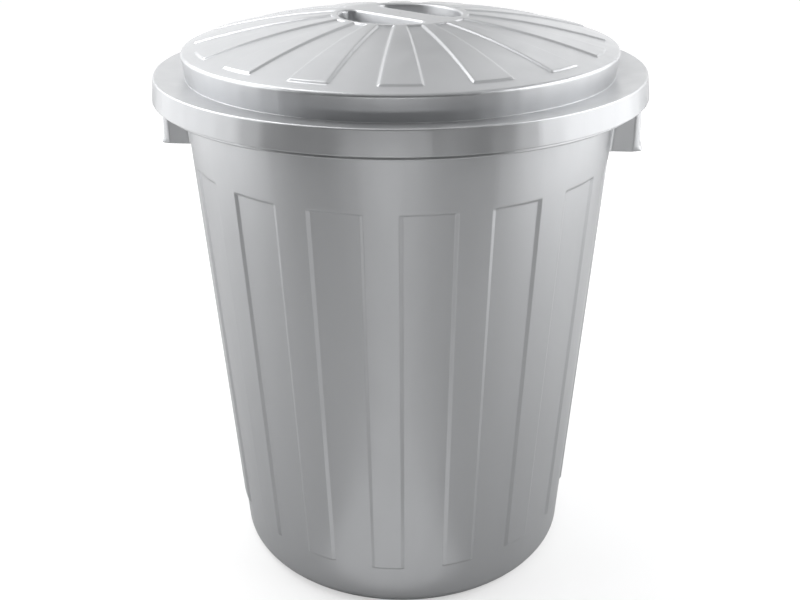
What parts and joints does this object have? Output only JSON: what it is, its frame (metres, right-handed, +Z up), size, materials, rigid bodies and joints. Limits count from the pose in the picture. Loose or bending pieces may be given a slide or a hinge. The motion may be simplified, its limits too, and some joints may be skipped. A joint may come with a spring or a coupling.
{
  "type": "trash can",
  "caption": "Round tapered trash can with a ribbed wall, two box handles under a turned-down rim, and a lift-off domed lid with a grip bar between two finger wells.",
  "frame": {"origin": "centre of the base, on the floor", "axes": "+Z up along the can's axis, X through the two handles, front towards -Y"},
  "size_m": [0.4594, 0.4594, 0.5454],
  "materials": {
    "can_plastic": "satin moulded plastic, light grey",
    "lid_plastic": "satin moulded plastic, light grey"
  },
  "bodies": {
    "can": {"can_body": "can_plastic"},
    "lid": {"lid": "lid_plastic"}
  },
  "joints": [
    {"name": "lid_lift", "type": "slide", "parent": "can", "child": "lid", "axis": [0, 0, 1], "range_m": [0, 0.35]}
  ]
}
